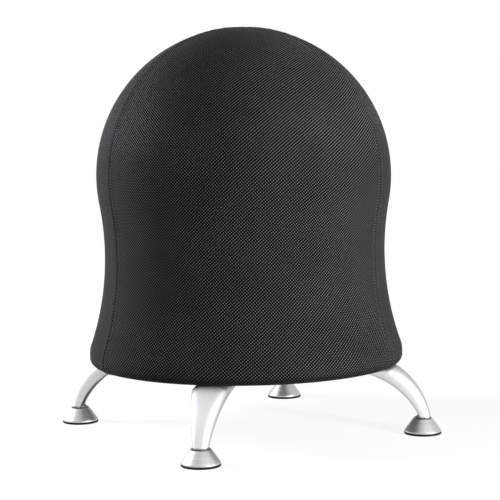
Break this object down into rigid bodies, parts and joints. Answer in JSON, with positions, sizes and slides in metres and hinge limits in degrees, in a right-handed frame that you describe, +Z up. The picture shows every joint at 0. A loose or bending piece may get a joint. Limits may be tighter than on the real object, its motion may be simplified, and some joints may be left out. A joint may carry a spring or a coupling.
{
  "type": "balance ball chair",
  "caption": "Backless active-sitting stool: inflated ball under a zipped mesh cover, on a round board with arched metal legs and levelling glides.",
  "frame": {"origin": "on the floor, midway between the four feet, under the middle of the ball", "axes": "+Z up through the ball; -Y towards the front leg; +X towards the right leg as seen from above with the front leg pointing down the page"},
  "size_m": [0.5716, 0.5716, 0.5842],
  "materials": {
    "cover_mesh": "matt spacer mesh",
    "cover_bottom_cloth": "matt woven cloth",
    "ball_vinyl": "satin vinyl",
    "plug_plastic": "smooth",
    "board_wood": "sanded plywood",
    "rim_plastic": "moulded",
    "mat_rubber": "matt",
    "leg_metal": "satin silver",
    "cone_metal": "turned satin",
    "pad_rubber": "matt",
    "stud_steel": "bright zinc",
    "collar_nylon": "smooth",
    "screw_steel": "bright zinc",
    "nut_steel": "black oxide",
    "zip_nylon": "moulded coil",
    "zip_cloth": "woven tape",
    "zip_metal": "black enamel"
  },
  "bodies": {
    "chair": {"cover_front_panel": "cover_mesh", "cover_right_panel": "cover_mesh", "cover_left_panel": "cover_mesh", "cover_bottom_panel": "cover_bottom_cloth", "ball_shell": "ball_vinyl", "ball_plug": "plug_plastic", "base_board": "board_wood", "base_rim": "rim_plastic", "ball_mat": "mat_rubber", "leg_front": "leg_metal", "leg_right": "leg_metal", "leg_back": "leg_metal", "leg_left": "leg_metal", "leg_bolts": "screw_steel", "leg_washers": "screw_steel", "tee_nuts": "screw_steel", "glide_nuts": "nut_steel", "zip_coil": "zip_nylon", "zip_tape": "zip_cloth", "zip_stops": "zip_metal"},
    "front_stud": {"stud_front": "stud_steel"},
    "front_foot": {"cone_front": "cone_metal", "pad_front": "pad_rubber", "collar_front": "collar_nylon"},
    "right_stud": {"stud_right": "stud_steel"},
    "right_foot": {"cone_right": "cone_metal", "pad_right": "pad_rubber", "collar_right": "collar_nylon"},
    "back_stud": {"stud_back": "stud_steel"},
    "back_foot": {"cone_back": "cone_metal", "pad_back": "pad_rubber", "collar_back": "collar_nylon"},
    "left_stud": {"stud_left": "stud_steel"},
    "left_foot": {"cone_left": "cone_metal", "pad_left": "pad_rubber", "collar_left": "collar_nylon"},
    "zip_slider": {"zip_slider": "zip_metal"},
    "zip_tab": {"zip_tab": "zip_metal"}
  },
  "joints": [
    {"name": "front_glide_drop", "type": "slide", "parent": "chair", "child": "front_stud", "axis": [0, 0, -1], "range_m": [0, 0.00375]},
    {"name": "front_glide_turn", "type": "hinge", "parent": "front_stud", "child": "front_foot", "pos_m": [0, -0.25904, 0], "axis": [0, 0, -1], "range_deg": [0, 1080]},
    {"name": "right_glide_drop", "type": "slide", "parent": "chair", "child": "right_stud", "axis": [0, 0, -1], "range_m": [0, 0.00375]},
    {"name": "right_glide_turn", "type": "hinge", "parent": "right_stud", "child": "right_foot", "pos_m": [0.25904, 0, 0], "axis": [0, 0, -1], "range_deg": [0, 1080]},
    {"name": "back_glide_drop", "type": "slide", "parent": "chair", "child": "back_stud", "axis": [0, 0, -1], "range_m": [0, 0.00375]},
    {"name": "back_glide_turn", "type": "hinge", "parent": "back_stud", "child": "back_foot", "pos_m": [0, 0.25904, 0], "axis": [0, 0, -1], "range_deg": [0, 1080]},
    {"name": "left_glide_drop", "type": "slide", "parent": "chair", "child": "left_stud", "axis": [0, 0, -1], "range_m": [0, 0.00375]},
    {"name": "left_glide_turn", "type": "hinge", "parent": "left_stud", "child": "left_foot", "pos_m": [-0.25904, 0, 0], "axis": [0, 0, -1], "range_deg": [0, 1080]},
    {"name": "zip_run", "type": "hinge", "parent": "chair", "child": "zip_slider", "pos_m": [-0.15413, 0.58338, 0.26047], "axis": [0.9668, 0.2554, 0], "range_deg": [0, 23.1]},
    {"name": "zip_tab_swing", "type": "hinge", "parent": "zip_slider", "child": "zip_tab", "pos_m": [-0.05331, 0.20178, 0.29613], "axis": [0.9668, 0.2554, 0], "range_deg": [0, 150]}
  ],
  "couplings": [
    {"joint": "front_glide_drop", "follows": "front_glide_turn", "m_per_rad": 0.00019894},
    {"joint": "right_glide_drop", "follows": "right_glide_turn", "m_per_rad": 0.00019894},
    {"joint": "back_glide_drop", "follows": "back_glide_turn", "m_per_rad": 0.00019894},
    {"joint": "left_glide_drop", "follows": "left_glide_turn", "m_per_rad": 0.00019894}
  ]
}
